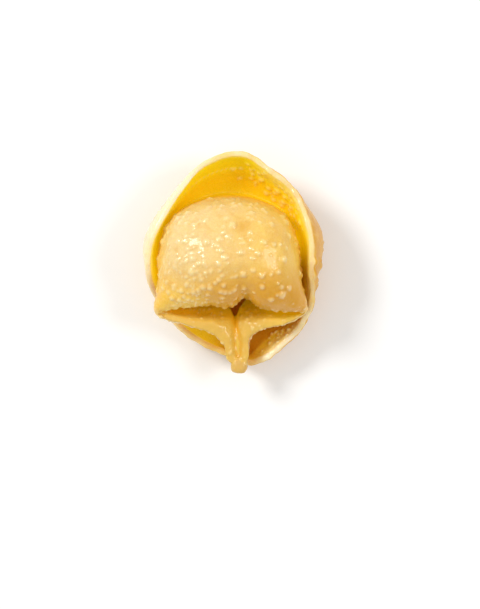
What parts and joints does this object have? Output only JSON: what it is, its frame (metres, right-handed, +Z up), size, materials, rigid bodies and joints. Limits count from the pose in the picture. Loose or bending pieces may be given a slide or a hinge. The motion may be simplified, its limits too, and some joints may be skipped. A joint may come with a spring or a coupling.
{
  "type": "cooked stuffed pasta piece",
  "caption": "Cooked cappelletto: a blistered, stuffed egg-dough belly with a curled brim behind it, its ends drawn round a finger hole and pinched together.",
  "frame": {"origin": "on the surface it lies on, under the middle of its bounding box", "axes": "+Y towards the tip of the brim, +Z up through the stuffed belly, X across the two arms"},
  "size_m": [0.0306, 0.0378, 0.0193],
  "materials": {
    "dough": "moist, soft gloss"
  },
  "bodies": {
    "root": {"cappelletto": "dough"}
  },
  "joints": []
}
